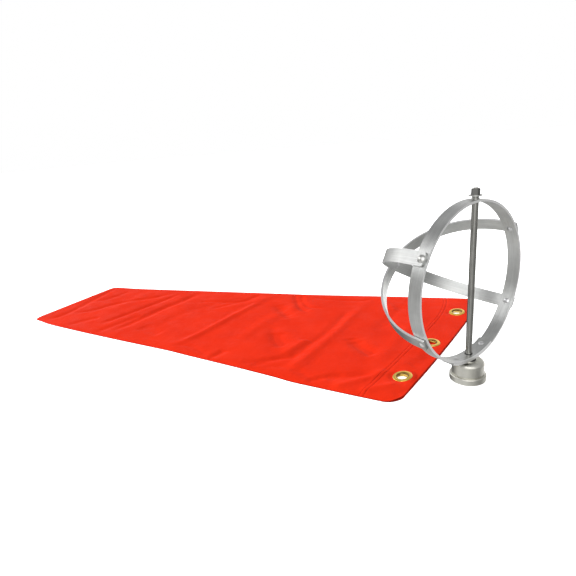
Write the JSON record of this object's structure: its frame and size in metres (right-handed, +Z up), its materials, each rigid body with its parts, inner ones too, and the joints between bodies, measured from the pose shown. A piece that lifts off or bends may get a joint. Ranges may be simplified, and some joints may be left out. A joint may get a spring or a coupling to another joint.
{
  "type": "windsock with swivel frame and spindle",
  "caption": "Red-orange wind cone laid flat beside its swivelling strap frame, which turns on an upright spindle fixed in a threaded pipe cap.",
  "frame": {"origin": "on the spindle's axis at the pipe cap's open rim, which stands on the ground", "axes": "+Z up along the spindle, +X along the wind cone from its tail to its mouth"},
  "size_m": [1.0346, 0.4621, 0.2806],
  "materials": {
    "cap": "satin, galvanised or painted grey",
    "spindle": "ground stainless",
    "zinc": "zinc plated",
    "strap": "mill finish, brushed along the bar",
    "rivet": "plain",
    "dark_plastic": "matt",
    "nylon": "matt",
    "cloth": "coated nylon, red-orange",
    "brass": "polished"
  },
  "bodies": {
    "base": {"pipe_cap": "cap", "spindle_rod": "spindle", "spindle_lock_washer": "zinc", "spindle_jam_nut": "zinc", "thrust_washer": "zinc", "top_washer": "zinc", "top_lock_nut": "spindle", "lock_nut_insert": "nylon"},
    "frame": {"bearing_washer": "dark_plastic", "ring_strap": "strap", "hoop_outer": "strap", "hoop_inner": "strap", "ring_lap_rivets": "rivet", "hoop_rivets": "rivet", "pole_rivet": "rivet", "hoop_screw": "zinc", "hoop_screw_washer": "zinc", "hoop_screw_nut": "zinc", "top_bush": "dark_plastic", "bottom_bush": "dark_plastic"},
    "sock": {"sock_cone": "cloth", "tail_hem": "cloth", "mouth_hem_upper": "cloth", "mouth_hem_lower": "cloth", "mouth_hem_folds": "cloth", "eyelets_upper": "brass", "eyelets_lower": "brass", "eyelet_washers_upper": "brass", "eyelet_washers_lower": "brass"}
  },
  "joints": [
    {"name": "frame_swivel", "type": "hinge", "parent": "base", "child": "frame", "pos_m": [0, 0, 0.15], "axis": [0, 0, 1], "continuous": true},
    {"name": "sock_lift_off", "type": "slide", "parent": "base", "child": "sock", "axis": [-1, 0, 0], "range_m": [0, 0.3]}
  ]
}
